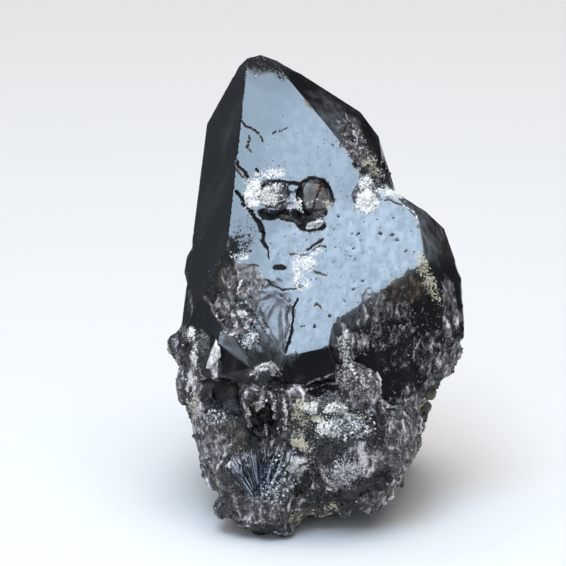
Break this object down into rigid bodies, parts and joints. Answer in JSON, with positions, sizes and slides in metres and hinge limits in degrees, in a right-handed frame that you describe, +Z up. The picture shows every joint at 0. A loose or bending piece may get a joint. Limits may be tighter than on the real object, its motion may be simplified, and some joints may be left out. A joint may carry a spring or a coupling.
{
  "type": "amethyst crystal cluster",
  "caption": "Dark smoky-violet quartz cluster: a tall leaning crystal with a broad flat mirror face, lower crystals grown onto it, on a lumpy matrix with a flat-cut base.",
  "frame": {"origin": "under the middle of the bounding box, on the flat base", "axes": "+Z up, towards the tip; the broad mirror face looks towards -Y and up; +X to the right of it"},
  "size_m": [0.0544, 0.0534, 0.081],
  "materials": {
    "amethyst": "polished dark crystal faces above frosted and crusted matrix"
  },
  "bodies": {
    "root": {"amethyst_cluster": "amethyst"}
  },
  "joints": []
}
